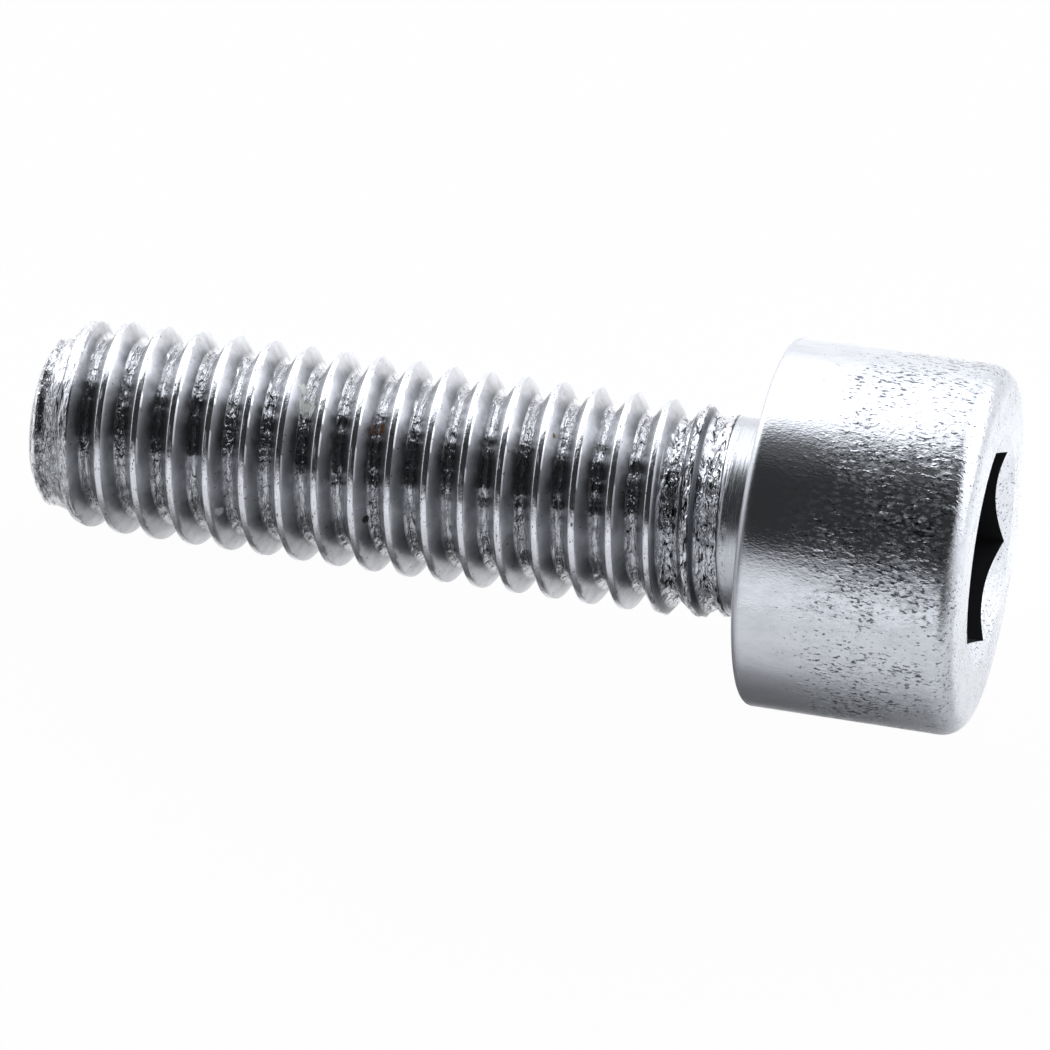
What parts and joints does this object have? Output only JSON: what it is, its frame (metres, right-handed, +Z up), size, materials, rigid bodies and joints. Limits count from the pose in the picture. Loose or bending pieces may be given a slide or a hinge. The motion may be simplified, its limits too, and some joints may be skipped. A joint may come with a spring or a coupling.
{
  "type": "socket head cap screw",
  "caption": "Cap screw with a plain round head, a hexagon socket, a short neck and a coarse right-hand thread, lying on its side.",
  "frame": {"origin": "on the surface that the screw lies on, at the middle of its footprint's bounding box", "axes": "+X towards the head, +Z up; the screw's own axis lies in the XZ plane and rises 5.93 degrees towards the head"},
  "size_m": [0.0264, 0.0098, 0.0103],
  "materials": {
    "stainless_steel": "bright cold-formed stainless steel, smooth on the rolled flanks and pitted towards the head's face"
  },
  "bodies": {
    "root": {"screw": "stainless_steel"}
  },
  "joints": []
}
